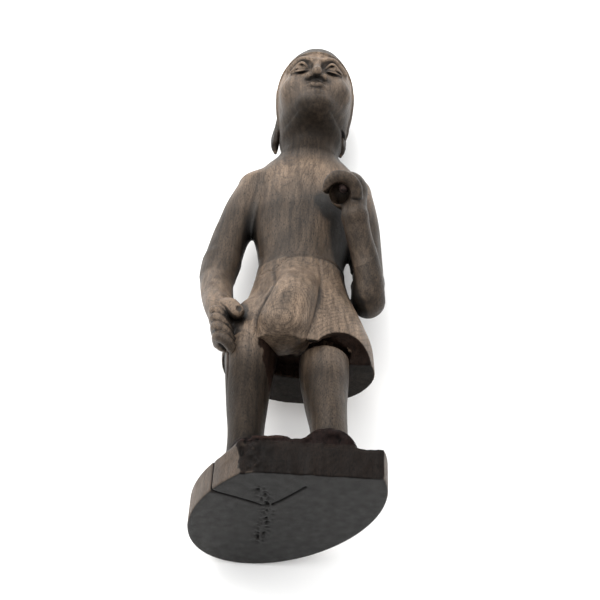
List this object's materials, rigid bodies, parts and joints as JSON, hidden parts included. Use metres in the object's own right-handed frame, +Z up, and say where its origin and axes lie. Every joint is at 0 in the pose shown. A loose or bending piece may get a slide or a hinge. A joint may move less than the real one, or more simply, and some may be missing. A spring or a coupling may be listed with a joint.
{
  "type": "carved ancestor figure",
  "caption": "Standing carved hardwood ancestor figure in a wrapped kilt, one hand on the hip and one curled at the shoulder, on an oval log plinth with a broken front.",
  "frame": {"origin": "middle of the footprint box of the whole figure, on the surface that it stands on", "axes": "+Z up, -Y the way the figure faces, +X towards the figure's own left side"},
  "size_m": [0.0904, 0.078, 0.304],
  "materials": {
    "polished_wood": "dark oiled hardwood, satin from handling, fine long grain",
    "kilt_wood": "lighter brown, worn satin hardwood with growth rings showing",
    "cap_wood": "matt greyish carved hair cap",
    "sawn_wood": "matt dark end grain below, lighter long grain round the side",
    "broken_wood": "rough, torn dark fibres"
  },
  "bodies": {
    "root": {"plinth": "sawn_wood", "foot_stump_right": "broken_wood", "foot_stump_left": "broken_wood", "leg_right": "polished_wood", "leg_left": "polished_wood", "kilt": "kilt_wood", "apron": "kilt_wood", "torso": "polished_wood", "neck": "polished_wood", "head": "polished_wood", "cap": "cap_wood", "ear_right": "polished_wood", "ear_left": "polished_wood", "upper_arm_right": "polished_wood", "forearm_right": "polished_wood", "hand_right": "polished_wood", "upper_arm_left": "polished_wood", "forearm_left": "polished_wood", "hand_left": "polished_wood", "staff_stub": "broken_wood"}
  },
  "joints": []
}
